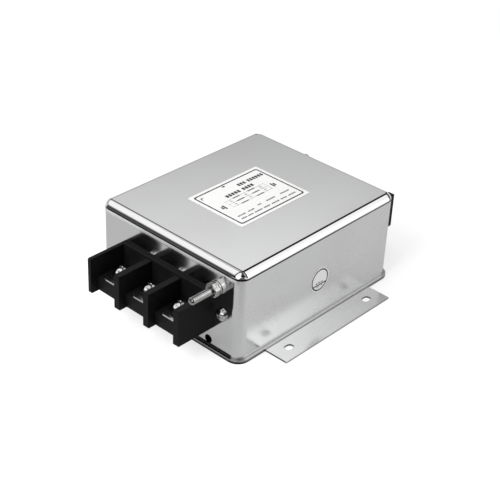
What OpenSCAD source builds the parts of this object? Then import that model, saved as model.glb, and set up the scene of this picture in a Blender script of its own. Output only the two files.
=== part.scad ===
// Three-phase EMI line filter. A drawn steel can stands on a slotted base plate, with a
// three-pole barrier terminal block at each end and an earth bolt beside the line block.
// Inside, a three-winding choke joins the two blocks, with a capacitor board at each end.
// X runs along the current path with the line end at -X, Y runs across the poles, and
// Z rises from the mounting surface. Lengths are in millimetres.

/* [Can] */
// Length of the can along the current path
can_l = 178; // [170:1:220]
// Width of the can across the poles
can_w = 150; // [146:1:190]
// Height of the can from the underside of its lip to its roof
can_h = 75.5; // [75:0.5:110]
// Thickness of the drawn sheet
sheet_t = 1.2; // [0.8:0.1:1.6]
// Outside radius of the upright corners
corner_r = 8; // [6:0.5:12]
// Outside radius of the edge between roof and walls
roof_r = 5; // [3:0.5:6]
// Reach of the foot lip beyond the wall
lip_w = 2.3; // [2:0.1:5]
// Radius of the cove between wall and lip
cove_r = 0.6; // [0.4:0.1:1.8]
// Diameter of the round hole low in the line-end wall
wall_hole_d = 7.2; // [4:0.1:9]
// Height of that hole's centre above the lip's underside
wall_hole_h = 6.4; // [6.2:0.1:9]
// Distance of that hole's centre from the long wall's face
wall_hole_in = 30.8; // [20:0.1:50]

/* [Base plate] */
// Thickness of the base plate
plate_t = 1.5; // [1:0.1:3]
// Reach of each mounting ear beyond the long wall
ear_reach = 23.5; // [19:0.5:30]
// Length of each mounting ear
ear_l = 123.4; // [106:0.2:160]
// Distance between the slots of one ear
slot_pitch = 93; // [70:0.5:95]
// Distance of the slot centres from the long wall
slot_out = 12.5; // [8:0.5:15]
// Width of a slot
slot_w = 6; // [4:0.1:7]
// Length of a slot, end to end
slot_l = 8.4; // [7.5:0.1:12]

/* [Terminal blocks] */
// Clear width of a pole between its barriers
pole_w = 26.3; // [24:0.1:27]
// Thickness of the barriers between poles
barrier_t = 5.3; // [3:0.1:6]
// Thickness of the barrier at the -Y end of a block
end_t = 5.2; // [3:0.1:6]
// Thickness of the barrier at its +Y end
far_t = 3.2; // [3:0.1:5]
// Height of a block
block_h = 30.7; // [27:0.1:36]
// Height of a block's middle above the lip's underside
block_mid = 34.65; // [34:0.05:40]
// Reach of the barriers beyond the wall
block_out = 36.5; // [34:0.5:45]
// How far the pole bodies stay behind the barriers' front edges
pole_back = 7; // [4:0.5:8]
// How far the pole bodies' underside stays above the barriers'
pole_lift = 0.8; // [0.4:0.1:2]
// How much lower the inner barriers are than the end ones
barrier_drop = 0.8; // [0.4:0.1:3]
// Thickness of the back wall outside the can
back_t = 3; // [2:0.1:5]
// Height of the bars' seat above the underside of the block
seat_h = 12.5; // [10:0.1:13]
// Radius on the barriers' front corners
barrier_r = 1.2; // [0.4:0.1:1.5]
// Moulding left under each terminal screw's bore
pole_floor = 1; // [0.8:0.1:2]
// Thickness of the flange inside the can
flange_t = 4; // [3:0.1:6]
// Height that the flange adds above and below the window
flange_lap = 3.5; // [2:0.1:5]
// Distance of the fixing screws beyond the block's ends
fix_out = 7.5; // [6.5:0.1:8.2]
// Flange material beyond the fixing screws
fix_edge = 6.5; // [5:0.1:7.5]

/* [Terminal bars] */
// Width of a terminal bar
bar_w = 17; // [13:0.1:20]
// Thickness of a terminal bar
bar_t = 1.5; // [1:0.1:2]
// Radius of a bar's corners
bar_r = 3; // [1:0.1:4]
// How far a bar's front edge stays behind its pole body's
bar_back = 0.3; // [0.2:0.1:3]
// Reach of a bar inward from the wall's outer face
bar_in = 22; // [21.2:0.1:24]
// Distance of the terminal screw from the wall's outer face
screw_out = 17; // [14:0.1:19.5]
// Distance of the lug screw inward from the wall's outer face
lug_in = 17; // [14.5:0.1:17.5]

/* [Earth bolt] */
// Distance of the earth bolt from the long wall's face
earth_in = 15.9; // [15:0.1:20]
// Height of the earth bolt between the block's flange and the roof, as a share of that space
earth_share = 0.48; // [0.46:0.01:0.6]
// Length of the earth bolt outside the wall
earth_l = 35.2; // [28:0.1:36]

/* [Fasteners] */
// Thread of the terminal screws and the earth bolt
m6_d = 6; // [5:0.1:6.4]
// Width of the six-millimetre nuts and the bolt head across their flats
m6_af = 10; // [9.4:0.1:11]
// Height of those nuts
m6_nut_h = 5.2; // [4:0.1:6]
// Height of the earth bolt's head
bolt_head_h = 4; // [3:0.1:5]
// Head diameter of the terminal screws
m6_head_d = 12; // [10.5:0.1:13]
// Head height of the terminal screws
m6_head_h = 4.3; // [3.4:0.1:4.6]
// Length of the terminal screws under the head
m6_screw_l = 12; // [10.6:0.1:14]
// Outside diameter of the flat washers
washer_d = 12; // [11:0.1:14]
// Outside diameter of the split washers
split_d = 10.8; // [9.5:0.1:11.5]
// Thickness of the flat and split washers
washer_t = 1.6; // [1:0.1:2]
// Thread of the fixing screws and the lug screws
m5_d = 5; // [4:0.1:5.4]
// Width of the fixing nuts across their flats
m5_af = 8; // [7.6:0.1:9]
// Height of the fixing nuts
m5_nut_h = 4; // [3:0.1:5]
// Head diameter of the fixing and lug screws
m5_head_d = 9.6; // [8.5:0.1:10.5]
// Head height of the fixing and lug screws
m5_head_h = 3.4; // [2.8:0.1:4]
// Thread of the board screws
m3_d = 3; // [2.5:0.1:3.5]

/* [Choke] */
// Space between the choke's highest turn and the roof
choke_gap = 2.5; // [2:0.1:7.5]
// Bore of the ring core
core_bore = 34; // [33:0.5:38]
// Length of the ring core along X
core_l = 40; // [30:0.5:44]
// Radius of the core's edges
core_r = 2; // [1:0.1:3]
// Diameter of the winding wire
wire_d = 4.4; // [3:0.1:4.4]
// Turns in each winding
turns = 3; // [2:1:3]
// Angle between neighbouring turns
turn_step = 19; // [18.6:0.1:21]
// Space between the wire and the core
wire_gap = 0.5; // [0.4:0.1:0.7]
// Tilt of the outer windings' middles above the core's middle plane
side_tilt = -5; // [-8:1:8]
// Thickness of the saddle under the core's lowest line
saddle_t = 7.4; // [5:0.1:7.6]
// Width of the saddle across the core
saddle_w = 28; // [20:1:30]
// Width of the tie
tie_w = 5; // [3:0.1:6]
// Thickness of the tie
tie_t = 1.4; // [1:0.1:2]

/* [Capacitors and boards] */
// Thickness of the insulating sheet
film_t = 0.5; // [0.2:0.1:1]
// Height of the board spacers above the base plate
spacer_h = 5.5; // [4:0.1:7]
// Thickness of the boards
board_t = 1.6; // [1:0.1:2]
// Length of a board along X
board_l = 50; // [48:0.5:54]
// Width of the boards across the poles
board_w = 132; // [122:1:140]
// Distance of the boards from the block flange
board_off = 4.8; // [3:0.1:5.5]
// Distance of the board screws from the board's edges
board_edge = 4; // [3.5:0.1:6]
// Length of an X capacitor across the poles
xcap_l = 32; // [26:0.5:34]
// Width of an X capacitor along X
xcap_w = 15; // [11:0.5:16]
// Height of an X capacitor
xcap_h = 20; // [15:0.5:20.5]
// Space between X capacitors
xcap_gap = 6; // [2:0.5:8]
// Distance of the X capacitors' middle from the lug screws
xcap_off = 20; // [19:0.5:22]
// Length of a Y capacitor across the poles
ycap_l = 18; // [13:0.5:20]
// Width of a Y capacitor along X
ycap_w = 8; // [5:0.5:9]
// Height of a Y capacitor
ycap_h = 13; // [9:0.5:15]
// Distance of the outer small parts from the board's middle line
small_y = 48; // [40:0.5:48]
// Diameter of a bleed resistor's body
resistor_d = 5; // [3:0.1:6]
// Length of a bleed resistor's body
resistor_l = 13; // [9:0.1:15]
// Width of the brass pillars across their flats
pillar_af = 8; // [7:0.1:9]
// Wall of the crimp barrel on each lug
crimp_t = 1.2; // [0.8:0.1:1.6]
// Thickness of a lug's tongue
tongue_t = 1.5; // [1:0.1:2]
// Outside diameter of a lug's ring
lug_d = 12; // [10:0.1:13]
// Length of the crimp barrel
barrel_l = 9; // [6:0.1:10]

/* [Label and sticker] */
// Length of the rating label along X
label_l = 77.7; // [50:0.1:100]
// Width of the rating label
label_w = 58.4; // [40:0.1:80]
// Distance of the label's middle from the roof's middle line
label_shift = 1.4; // [-5:0.1:5]
// Corner radius of the label
label_r = 2; // [0.5:0.1:4]
// Thickness of the label and the sticker
label_t = 0.25; // [0.1:0.05:0.4]
// Diameter of the round sticker
sticker_d = 20.8; // [12:0.1:26]
// Height of the sticker's middle above the lip's underside
sticker_h = 33.6; // [25:0.1:50]

/* [Fits] */
// Clearance round a screw in its hole
hole_gap = 0.25; // [0.1:0.05:0.4]
// Clearance between a thread and its nut
thread_gap = 0.05; // [0.02:0.01:0.08]
// Clearance round a piece in its slot or pocket
slide_gap = 0.15; // [0.05:0.05:0.25]

/* [Hidden] */
$fn = 48;
eps = 0.01;

// Plates and walls
wall_x = can_l / 2;
wall_y = can_w / 2;
roof_z = plate_t + can_h;
roof_under = roof_z - sheet_t;

// Terminal blocks, in an end frame whose X leaves the wall's outer face
pitch = pole_w + barrier_t;
block_w = 3 * pole_w + 2 * barrier_t + end_t + far_t;
pole_shift = (end_t - far_t) / 2;
block_z = plate_t + block_mid - block_h / 2;
pole_out = block_out - pole_back;
seat_z = block_z + seat_h;
bar_top = seat_z + bar_t;
fix_y = block_w / 2 + fix_out;
fix_z = plate_t + block_mid;
flange_w = 2 * (fix_y + fix_edge);
flange_in = sheet_t + flange_t;
flange_top = block_z + block_h + flange_lap;
PHASES = [1, 0, -1];

// Middle of a pole across the block
function pole_y(p) = p * pitch + pole_shift;

// Earth bolt
earth_y = -(wall_y - earth_in);
earth_z = flange_top + earth_share * (roof_under - flange_top);
earth_stack = 2 * washer_t;

// Boards
board_z = plate_t + spacer_h;
board_top = board_z + board_t;
board_out = flange_in + board_off;
board_in = board_out + board_l;
xcap_in = lug_in + xcap_off;
small_in = xcap_in + xcap_w / 2 + 2 + ycap_w / 2;

// Choke: the core fills the height that the saddle and the winding leave under the roof,
// and the wire's centre line goes round the core's section as a rounded rectangle
wire_r = wire_d / 2;
core_low = plate_t + film_t + saddle_t;
core_d = roof_under - choke_gap - wire_d - wire_gap - core_low;
core_z = core_low + core_d / 2;
loop_out = core_d / 2 + wire_gap + wire_r;
loop_in = core_bore / 2 - wire_gap - wire_r;
loop_x = core_l / 2 + wire_gap + wire_r;
loop_r = core_r + wire_gap + wire_r;
run_x = 2 * (loop_x - loop_r);
run_face = loop_out - loop_in - 2 * loop_r;
quarter = PI * loop_r / 2;
loop_len = 2 * run_x + 2 * run_face + 4 * quarter;
wound_len = turns * loop_len + run_x;
span = turns * turn_step;
BEND_STEPS = 3;
TUBE_SIDES = 8;

// Lugs: the barrel's axis lies above the bar by the barrel's outside radius
barrel_r = wire_r + slide_gap + crimp_t;
barrel_z = bar_top + barrel_r;
barrel_in = lug_in + lug_d / 2 + 1;
lead_x = wall_x - barrel_in - 1;
lead_free = wall_x - barrel_in - barrel_l - 1;

// ---------- shared shapes ----------

module line_end() {
    mirror([1, 0, 0]) translate([wall_x, 0, 0]) children();
}

module load_end() {
    translate([wall_x, 0, 0]) children();
}

module both_ends() {
    line_end() children();
    load_end() children();
}

// A rounded rectangle made of true arcs
module round_plate(l, w, r) {
    square([l - 2 * r, w], center = true);
    square([l, w - 2 * r], center = true);
    for (x = [-1, 1], y = [-1, 1])
        translate([x * (l / 2 - r), y * (w / 2 - r)]) circle(r);
}

// Carries a section round a rounded rectangle; the section's X starts at the corner's axis
module around(l, w, r) {
    corners = [[1, 1], [-1, 1], [-1, -1], [1, -1]];
    for (k = [0:3])
        translate([corners[k].x * (l / 2 - r), corners[k].y * (w / 2 - r), 0])
            rotate([0, 0, 90 * k]) rotate_extrude(angle = 90) children();
    for (half = [0, 180]) rotate([0, 0, half]) {
        translate([l / 2 - r, w / 2 - r, 0]) rotate([90, 0, 0])
            linear_extrude(w - 2 * r) children();
        translate([r - l / 2, w / 2 - r, 0]) rotate([90, 0, 90])
            linear_extrude(l - 2 * r) children();
    }
}

module ring(outer_d, inner_d, h) {
    difference() {
        cylinder(d = outer_d, h = h);
        translate([0, 0, -eps]) cylinder(d = inner_d, h = h + 2 * eps);
    }
}

// A prism with six flats whose corners are turned down on the faces named in chamfers
module hex_block(af, h, top = 1, bottom = 1) {
    corner = af / cos(30) / 2;
    turn = corner - af / 2 * 0.97;
    intersection() {
        cylinder(r = corner, h = h, $fn = 6);
        rotate_extrude() polygon([
            [0, 0], [corner - bottom * turn, 0], [corner, bottom * turn / 2],
            [corner, h - top * turn / 2], [corner - top * turn, h], [0, h]
        ]);
    }
}

module hex_nut(af, thread, h) {
    difference() {
        hex_block(af, h);
        translate([0, 0, -eps]) cylinder(d = thread + 2 * thread_gap, h = h + 2 * eps);
    }
}

module flat_washer() {
    ring(washer_d, m6_d + 2 * hole_gap, washer_t);
}

// A ring cut through on a slant
module split_washer() {
    difference() {
        ring(split_d, m6_d + 2 * hole_gap, washer_t);
        translate([0, split_d / 2, washer_t / 2]) rotate([0, 25, 0])
            cube([washer_t / 2, split_d, 3 * washer_t], center = true);
    }
}

// Domed head with a cross recess and a plain shank, the head's seat at Z = 0
module pan_screw(thread, head_d, head_h, shank_l) {
    point = 0.1 * thread;
    dome = 0.75 * head_d;
    difference() {
        rotate_extrude() intersection() {
            square([head_d / 2, head_h]);
            translate([0, head_h - dome]) circle(dome);
        }
        translate([0, 0, head_h]) for (a = [0, 90]) rotate([0, 0, a])
            cube([0.52 * head_d, 0.11 * head_d, head_h], center = true);
        translate([0, 0, 0.38 * head_h]) cylinder(h = head_h, d1 = 0.12 * head_d, d2 = 0.42 * head_d);
    }
    translate([0, 0, -shank_l]) {
        cylinder(d1 = 0.8 * thread, d2 = thread, h = point);
        translate([0, 0, point]) cylinder(d = thread, h = shank_l - point + eps);
    }
}

// ---------- can and base plate ----------

// Half section of the can: roof, rounded edge, wall, cove and lip
module can_section() {
    difference() {
        union() {
            can_outline(0);
            square([corner_r + lip_w, sheet_t]);
            below_arc(cove_r);
        }
        can_outline(sheet_t);
        below_arc(cove_r + sheet_t);
    }
}

// The can's outline from the corner's axis outward, set in by a wall's thickness
module can_outline(inset) {
    edge = corner_r - roof_r;
    square([corner_r - inset, can_h - roof_r]);
    square([edge, can_h - inset]);
    translate([edge, can_h - roof_r]) intersection() {
        circle(roof_r - inset);
        square(roof_r);
    }
}

// What lies below an arc about the cove's centre
module below_arc(radius) {
    difference() {
        square([corner_r + cove_r, sheet_t + cove_r]);
        translate([corner_r + cove_r, sheet_t + cove_r]) circle(radius);
    }
}

module case_can() {
    color("#c8c9cb")
    difference() {
        translate([0, 0, plate_t]) {
            around(can_l, can_w, corner_r) can_section();
            translate([corner_r - wall_x, corner_r - wall_y, can_h - sheet_t])
                cube([can_l - 2 * corner_r, can_w - 2 * corner_r, sheet_t]);
        }
        both_ends() {
            translate([-2 * sheet_t, -block_w / 2 - slide_gap, block_z - slide_gap])
                cube([3 * sheet_t, block_w + 2 * slide_gap, block_h + 2 * slide_gap]);
            for (y = [-fix_y, fix_y]) translate([-2 * sheet_t, y, fix_z]) rotate([0, 90, 0])
                cylinder(d = m5_d + 2 * hole_gap, h = 3 * sheet_t);
        }
        line_end() {
            translate([-2 * sheet_t, earth_y, earth_z]) rotate([0, 90, 0])
                cylinder(d = m6_d + 2 * hole_gap, h = 3 * sheet_t);
            translate([-2 * sheet_t, wall_hole_in - wall_y, plate_t + wall_hole_h]) rotate([0, 90, 0])
                cylinder(d = wall_hole_d, h = 3 * sheet_t);
        }
    }
}

module base_plate() {
    color("#d2d3d4")
    difference() {
        union() {
            linear_extrude(plate_t)
                round_plate(can_l + 2 * lip_w, can_w + 2 * lip_w, corner_r + lip_w);
            translate([-ear_l / 2, -wall_y - ear_reach, 0])
                cube([ear_l, can_w + 2 * ear_reach, plate_t]);
        }
        for (x = [-1, 1], y = [-1, 1])
            translate([x * slot_pitch / 2, y * (wall_y + slot_out), -eps])
                linear_extrude(plate_t + 2 * eps) slot_outline();
    }
}

module slot_outline() {
    straight = slot_l - slot_w;
    square([straight, slot_w], center = true);
    for (x = [-straight / 2, straight / 2]) translate([x, 0]) circle(d = slot_w);
}

module insulating_sheet() {
    color("#e9e2cf")
    translate([0, 0, plate_t]) linear_extrude(film_t) difference() {
        square([2 * (wall_x - board_out) + 2, board_w + 2], center = true);
        board_points() circle(d = 2 * m3_d + 1);
    }
}

module rating_label() {
    color("#f2f2f0")
    translate([0, label_shift, roof_z]) linear_extrude(label_t)
        round_plate(label_l, label_w, label_r);
}

module round_sticker() {
    color("#e6e7e8")
    translate([0, -wall_y, plate_t + sticker_h]) rotate([90, 0, 0])
        cylinder(d = sticker_d, h = label_t);
}

// ---------- terminal blocks ----------

module barrier(t, h) {
    rotate([90, 0, 0]) linear_extrude(t, center = true) {
        square([block_out - barrier_r, h]);
        translate([0, barrier_r]) square([block_out, h - 2 * barrier_r]);
        for (z = [barrier_r, h - barrier_r])
            translate([block_out - barrier_r, z]) circle(barrier_r);
    }
}

module terminal_block() {
    color("#1c1c1d")
    difference() {
        union() {
            translate([-flange_in, -flange_w / 2, block_z - flange_lap])
                cube([flange_t, flange_w, block_h + 2 * flange_lap]);
            translate([-sheet_t - eps, -block_w / 2, block_z])
                cube([sheet_t + back_t + eps, block_w, block_h]);
            translate([0, (end_t - block_w) / 2, block_z + pole_lift])
                cube([pole_out, block_w - (end_t + far_t) / 2, seat_h - pole_lift]);
            translate([0, (end_t - block_w) / 2, block_z]) barrier(end_t, block_h);
            translate([0, (block_w - far_t) / 2, block_z]) barrier(far_t, block_h);
            for (half = [-0.5, 0.5])
                translate([0, pole_y(half), block_z]) barrier(barrier_t, block_h - barrier_drop);
        }
        for (p = PHASES) translate([0, pole_y(p), 0]) {
            translate([-flange_in - eps, -bar_w / 2 - slide_gap, seat_z])
                cube([flange_in + back_t + 2 * eps, bar_w + 2 * slide_gap, bar_t + slide_gap]);
            translate([screw_out, 0, seat_z - m6_nut_h - slide_gap])
                cylinder(d = (m6_af + 2 * slide_gap) / cos(30), h = 2 * m6_nut_h, $fn = 6);
            translate([screw_out, 0, block_z + pole_lift + pole_floor])
                cylinder(d = m6_d + 4 * hole_gap, h = seat_h);
        }
        for (y = [-fix_y, fix_y]) translate([-flange_in - eps, y, fix_z]) rotate([0, 90, 0])
            cylinder(d = m5_d + 2 * hole_gap, h = flange_t + 2 * eps);
    }
}

module line_terminal_block() {
    line_end() terminal_block();
}

module load_terminal_block() {
    load_end() terminal_block();
}

// One plated bar from the pole's seat, through the block, to the lug screw inside
module terminal_bar(p) {
    front = pole_out - bar_back;
    length = front + bar_in;
    color("#d9d9da")
    translate([0, pole_y(p), seat_z]) difference() {
        translate([front - length / 2, 0, 0]) linear_extrude(bar_t) round_plate(length, bar_w, bar_r);
        for (hole = [[screw_out, m6_d], [-lug_in, m5_d]])
            translate([hole[0], 0, -eps]) cylinder(d = hole[1] + 2 * hole_gap, h = bar_t + 2 * eps);
    }
}

module line_terminal_bar(number) {
    line_end() terminal_bar(PHASES[number - 1]);
}

module load_terminal_bar(number) {
    load_end() terminal_bar(PHASES[number - 1]);
}

// Places its children on each terminal screw's axis, at height z
module at_terminals(z) {
    both_ends() for (p = PHASES) translate([screw_out, pole_y(p), z]) children();
}

module terminal_screws() {
    color("#e4e4e2")
    at_terminals(bar_top + 2 * washer_t) rotate([0, 0, 25])
        pan_screw(m6_d, m6_head_d, m6_head_h, m6_screw_l);
}

module terminal_split_washers() {
    color("#bdbdbc")
    at_terminals(bar_top + washer_t) split_washer();
}

module terminal_flat_washers() {
    color("#d5d5d4")
    at_terminals(bar_top) flat_washer();
}

module terminal_nuts() {
    color("#c9c4b4")
    at_terminals(seat_z - m6_nut_h) hex_nut(m6_af, m6_d, m6_nut_h);
}

// Places its children on each fixing screw's axis, Z pointing out of the wall
module at_fixings(x) {
    both_ends() for (y = [-fix_y, fix_y]) translate([x, y, fix_z]) rotate([0, 90, 0]) children();
}

module block_screws() {
    color("#dddddc")
    at_fixings(0) rotate([0, 0, 20])
        pan_screw(m5_d, m5_head_d, m5_head_h, flange_in + m5_nut_h + 0.4 * m5_d);
}

module block_nuts() {
    color("#c9c4b4")
    at_fixings(-flange_in - m5_nut_h) hex_nut(m5_af, m5_d, m5_nut_h);
}

// ---------- earth bolt ----------

// Places its children on the earth bolt's axis, Z pointing out of the line-end wall
module on_earth_axis(x) {
    line_end() translate([x, earth_y, earth_z]) rotate([0, 90, 0]) children();
}

// A hexagon bolt from inside. Its thread is drawn at full size from just beyond the front
// nut, and at its pitch diameter where the nuts and washers cover it.
module earth_bolt() {
    tip = 0.3 * m6_d;
    pitch_d = 0.9 * m6_d;
    covered = sheet_t + 2 * m6_nut_h + 3 * washer_t + slide_gap;
    color("#dededd")
    on_earth_axis(-sheet_t) {
        translate([0, 0, -bolt_head_h]) {
            hex_block(m6_af, bolt_head_h, top = 0);
            cylinder(d = pitch_d, h = bolt_head_h + covered);
        }
        translate([0, 0, covered])
            cylinder(d = m6_d, h = sheet_t + earth_l - tip - covered);
        translate([0, 0, sheet_t + earth_l - tip]) rotate_extrude() intersection() {
            square([m6_d / 2, tip]);
            translate([m6_d / 2 - tip, 0]) union() {
                circle(tip);
                translate([-m6_d, 0]) square([m6_d, tip]);
            }
        }
    }
}

module earth_back_nut() {
    color("#d2d1cc")
    on_earth_axis(0) hex_nut(m6_af, m6_d, m6_nut_h);
}

module earth_flat_washers() {
    color("#d8d8d6")
    for (k = [0, 1]) on_earth_axis(m6_nut_h + k * washer_t) flat_washer();
}

module earth_split_washer() {
    color("#c4c4c2")
    on_earth_axis(m6_nut_h + earth_stack) rotate([0, 0, 70]) split_washer();
}

module earth_front_nut() {
    color("#dbdad6")
    on_earth_axis(m6_nut_h + earth_stack + washer_t) rotate([0, 0, 12]) hex_nut(m6_af, m6_d, m6_nut_h);
}

// ---------- choke ----------

module choke_core() {
    color("#2f5d8c")
    translate([0, 0, core_z]) rotate([0, 90, 0]) rotate_extrude()
        translate([(core_d + core_bore) / 4, 0])
            round_plate((core_d - core_bore) / 2, core_l, core_r);
}

// Position at X, radius and angle round the core's axis, the angle starting at +Y
function on_core(x, radius, angle) = [x, radius * cos(angle), core_z + radius * sin(angle)];

// Middle angle of each winding
function phase_angle(p) = p == 0 ? 90 : 90 - p * (90 - side_tilt);

// The first turn of the middle winding lies on the -Y side; the outer ones start at the top
function first_angle(p) = phase_angle(p) + (p == -1 ? -1 : 1) * span / 2;
function last_angle(p) = 2 * phase_angle(p) - first_angle(p);
function angle_at(p, travelled) =
    first_angle(p) + (last_angle(p) - first_angle(p)) * travelled / wound_len;

// One turn from the start of its first bend to the end of its fourth
function one_turn(p, turn) = [
    for (k = [0:3], a = [0:BEND_STEPS])
        let (
            sign_x = k < 2 ? 1 : -1,
            middle_r = k == 0 || k == 3 ? loop_out - loop_r : loop_in + loop_r,
            dir = 90 - 90 * (k + a / BEND_STEPS),
            before = run_x + (k >= 2 ? run_x : 0) + ceil(k / 2) * run_face + k * quarter,
            travelled = turn * loop_len + before + quarter * a / BEND_STEPS
        )
        on_core(sign_x * run_x / 2 + loop_r * cos(dir), middle_r + loop_r * sin(dir),
            angle_at(p, travelled))
];

function bezier(a, b, c, d, t) =
    pow(1 - t, 3) * a + 3 * pow(1 - t, 2) * t * b + 3 * (1 - t) * t * t * c + pow(t, 3) * d;

// A lead from its lug to the core: straight in the barrel, then a double bend
function lead(p, side, angle) =
    let (
        from = [side * lead_free, pole_y(p), barrel_z],
        to = on_core(side * run_x / 2, loop_out, angle),
        pull = [side * 0.42 * (lead_free - run_x / 2), 0, 0]
    )
    concat([[side * lead_x, pole_y(p), barrel_z]],
        [for (k = [0:10]) bezier(from, from - pull, to + pull, to, k / 10)]);

function reversed(list) = [for (k = [len(list) - 1:-1:0]) list[k]];

function winding_path(p) = concat(
    lead(p, -1, first_angle(p)),
    [for (turn = [0:turns - 1]) each one_turn(p, turn)],
    reversed(lead(p, 1, last_angle(p)))
);

function unit(v) = v / norm(v);

// Sweeps a round section along a path, turning it as little as it can from ring to ring
module tube(path, radius) {
    last = len(path) - 1;
    along = [for (k = [0:last]) unit(path[min(k + 1, last)] - path[max(k - 1, 0)])];
    across = [for (k = 0, u = unit(cross(along[0], [0, 0, 1])); k <= last;
        k = k + 1, u = k <= last ? unit(u - along[k] * (u * along[k])) : u) u];
    points = [for (k = [0:last], s = [0:TUBE_SIDES - 1])
        let (turn = 360 * s / TUBE_SIDES)
        path[k] + radius * (cos(turn) * across[k] + sin(turn) * cross(along[k], across[k]))];
    sides = [for (k = [0:last - 1], s = [0:TUBE_SIDES - 1])
        let (next = (s + 1) % TUBE_SIDES, base = k * TUBE_SIDES)
        [base + s, base + s + TUBE_SIDES, base + next + TUBE_SIDES, base + next]];
    first_cap = [for (s = [0:TUBE_SIDES - 1]) s];
    last_cap = [for (s = [TUBE_SIDES - 1:-1:0]) last * TUBE_SIDES + s];
    polyhedron(points, concat(sides, [first_cap, last_cap]));
}

module choke_winding(number) {
    color("#b3592b") tube(winding_path(PHASES[number - 1]), wire_r);
}

module choke_saddle() {
    length = core_l - 2 * core_r;
    groove = tie_t + slide_gap;
    color("#3b3b3d")
    difference() {
        translate([-length / 2, -saddle_w / 2, plate_t + film_t])
            cube([length, saddle_w, saddle_t + core_d / 8]);
        translate([-length / 2 - eps, 0, core_z]) rotate([0, 90, 0])
            cylinder(d = core_d + slide_gap, h = length + 2 * eps);
        translate([-length / 2 - eps, -tie_w / 2 - slide_gap, plate_t + film_t - eps])
            cube([length + 2 * eps, tie_w + 2 * slide_gap, groove]);
    }
}

// A band through the core's bore and under the saddle
module choke_tie() {
    low = plate_t + film_t + slide_gap / 2;
    bore_low = core_z - sqrt(pow(core_bore / 2, 2) - pow(tie_w / 2, 2));
    inside = [core_l + 2 * slide_gap, bore_low - low - tie_t];
    outside = [inside.x + 2 * tie_t, inside.y + 2 * tie_t];
    color("#f0efe9")
    translate([0, 0, low + outside.y / 2]) rotate([90, 0, 0])
        linear_extrude(tie_w, center = true) difference() {
            round_plate(outside.x, outside.y, 1.35 * tie_t);
            round_plate(inside.x, inside.y, 0.35 * tie_t);
        }
}

// ---------- lugs, pillars and boards ----------

module lug() {
    color("#d6d6d4")
    translate([-lug_in, 0, bar_top]) {
        difference() {
            union() {
                cylinder(d = lug_d, h = tongue_t);
                translate([-lug_d / 2 - 2, -barrel_r, 0]) cube([lug_d / 2 + 2, 2 * barrel_r, tongue_t]);
            }
            translate([0, 0, -eps]) cylinder(d = m5_d + 2 * hole_gap, h = tongue_t + 2 * eps);
            translate([lug_in - barrel_in, 0, barrel_r]) rotate([0, -90, 0])
                cylinder(r = barrel_r - crimp_t, h = barrel_l);
        }
        translate([lug_in - barrel_in, 0, barrel_r]) rotate([0, -90, 0])
            ring(2 * barrel_r, 2 * (barrel_r - crimp_t), barrel_l);
    }
}

module winding_lugs() {
    both_ends() for (p = PHASES) translate([0, pole_y(p), 0]) lug();
}

module lug_screws() {
    color("#dddddc")
    both_ends() for (p = PHASES) translate([-lug_in, pole_y(p), bar_top + tongue_t])
        pan_screw(m5_d, m5_head_d, m5_head_h, tongue_t + bar_t + 1.2 * m5_d);
}

module bus_pillars() {
    height = seat_z - board_top;
    color("#c9a84c")
    both_ends() for (p = PHASES) translate([-lug_in, pole_y(p), board_top]) difference() {
        hex_block(pillar_af, height);
        translate([0, 0, height - 2 * m5_d]) cylinder(d = m5_d + 2 * thread_gap, h = 2 * m5_d + eps);
    }
}

// Places its children on the screws of both boards
module board_points() {
    for (side = [-1, 1], x = [board_out + board_edge, board_in - board_edge], y = [-1, 1])
        translate([side * (wall_x - x), y * (board_w / 2 - board_edge)]) children();
}

module capacitor_board() {
    color("#2e6b3f")
    difference() {
        translate([-board_in, -board_w / 2, board_z]) cube([board_l, board_w, board_t]);
        translate([-wall_x, 0, board_z - eps]) linear_extrude(board_t + 2 * eps)
            board_points() circle(d = m3_d + 2 * hole_gap);
    }
}

module line_capacitor_board() {
    line_end() capacitor_board();
}

module load_capacitor_board() {
    load_end() capacitor_board();
}

module board_spacers() {
    color("#cfcfcd")
    translate([0, 0, plate_t]) board_points() difference() {
        cylinder(d = 2 * m3_d, h = spacer_h, $fn = 6);
        translate([0, 0, 1]) cylinder(d = m3_d + 2 * thread_gap, h = spacer_h);
    }
}

module board_screws() {
    color("#dddddc")
    translate([0, 0, board_top]) board_points()
        pan_screw(m3_d, 1.9 * m3_d, 0.7 * m3_d, board_t + spacer_h - 1.5);
}

// A boxed film capacitor with softened upright edges
module box_capacitor(l, w, h) {
    translate([0, 0, board_top]) linear_extrude(h) round_plate(w, l, 1);
}

module x_capacitor(p) {
    color("#d8b23a")
    translate([-xcap_in, p * (xcap_l + xcap_gap), 0]) box_capacitor(xcap_l, xcap_w, xcap_h);
}

module line_x_capacitor(number) {
    line_end() x_capacitor(PHASES[number - 1]);
}

module load_x_capacitor(number) {
    load_end() x_capacitor(PHASES[number - 1]);
}

module y_capacitor(number) {
    color("#3f6fb0")
    load_end() translate([-small_in, PHASES[number - 1] * small_y, 0])
        box_capacitor(ycap_l, ycap_w, ycap_h);
}

// A body lying across the board, with both wires bent down to it
module bleed_resistor(number) {
    wire = 0.8;
    bend = 1.5;
    reach = resistor_l / 2 + 2;
    height = resistor_d / 2 + 0.5;
    color("#c9b48a")
    line_end() translate([-small_in, PHASES[number - 1] * small_y, board_top + height]) {
        rotate([90, 0, 0]) cylinder(d = resistor_d, h = resistor_l, center = true);
        for (half = [0, 180]) rotate([0, 0, half]) {
            rotate([-90, 0, 0]) cylinder(d = wire, h = reach);
            translate([0, reach, -bend]) rotate([90, 0, 90]) rotate_extrude(angle = 90)
                translate([bend, 0]) circle(d = wire);
            translate([0, reach + bend, -height]) cylinder(d = wire, h = height - bend);
        }
    }
}

// ---------- the assembly ----------

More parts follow.
